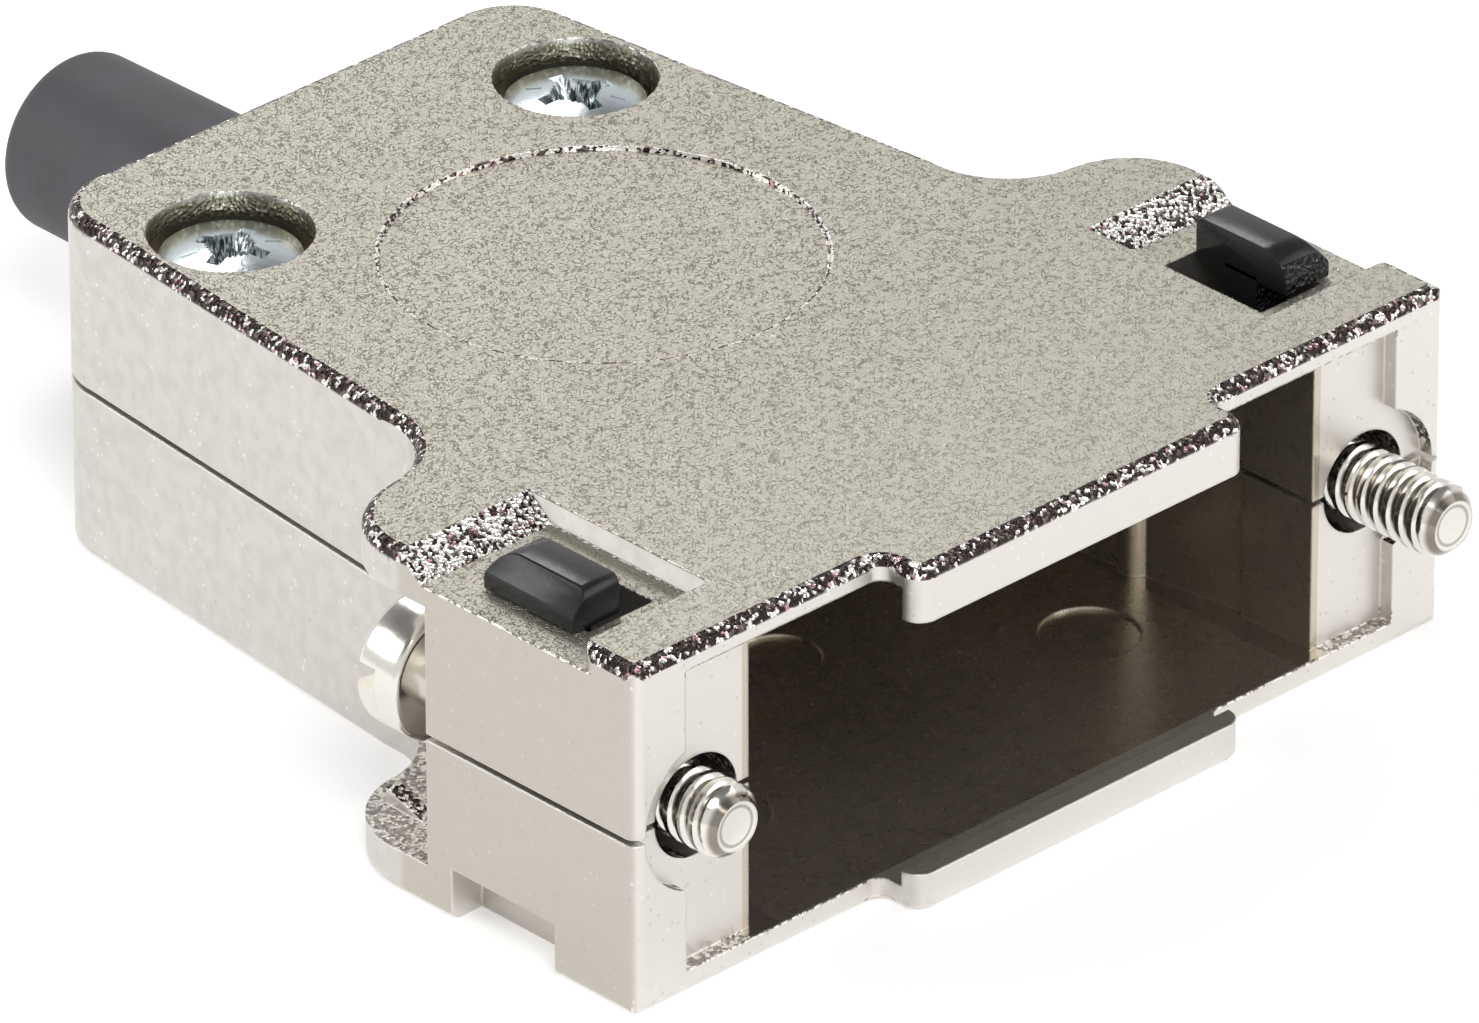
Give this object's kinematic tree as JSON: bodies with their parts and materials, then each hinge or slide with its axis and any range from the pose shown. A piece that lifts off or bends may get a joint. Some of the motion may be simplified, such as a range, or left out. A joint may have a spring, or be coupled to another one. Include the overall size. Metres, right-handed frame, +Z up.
{
  "type": "d-sub connector hood",
  "caption": "Die-cast two-shell hood for a 15-way D-sub cable connector with captive jackscrews and a rubber cable boot.",
  "frame": {"origin": "on the underside of the lower shell, in the middle of its width, at the mating face", "axes": "+X across the hood to the right seen from the mating side, +Y from the mating face to the cable end, +Z up through the lid"},
  "size_m": [0.0404, 0.056, 0.0147],
  "materials": {
    "zinc_casting": "satin",
    "bright_steel": "polished",
    "blue_zinc_steel": "satin",
    "black_plastic": "gloss",
    "grey_rubber": "matte"
  },
  "bodies": {
    "hood": {"lower_shell": "zinc_casting", "upper_shell": "zinc_casting", "cover_screw_left": "blue_zinc_steel", "cover_screw_right": "blue_zinc_steel", "cable_boot": "grey_rubber", "cable_clamp": "bright_steel", "clamp_screw_left": "bright_steel", "clamp_screw_right": "bright_steel"},
    "clip_left": {"screw_clip_left": "black_plastic"},
    "clip_right": {"screw_clip_right": "black_plastic"},
    "screw_left": {"jackscrew_left": "bright_steel"},
    "screw_right": {"jackscrew_right": "bright_steel"}
  },
  "joints": [
    {"name": "left_float", "type": "slide", "parent": "hood", "child": "clip_left", "axis": [0, -1, 0], "range_m": [-0.0016, 0.0016]},
    {"name": "right_float", "type": "slide", "parent": "hood", "child": "clip_right", "axis": [0, -1, 0], "range_m": [-0.0016, 0]},
    {"name": "left_turn", "type": "hinge", "parent": "clip_left", "child": "screw_left", "pos_m": [-0.01666, 0.0068, 0.007], "axis": [0, -1, 0], "continuous": true},
    {"name": "right_turn", "type": "hinge", "parent": "clip_right", "child": "screw_right", "pos_m": [0.01666, 0.0068, 0.007], "axis": [0, -1, 0], "continuous": true}
  ]
}
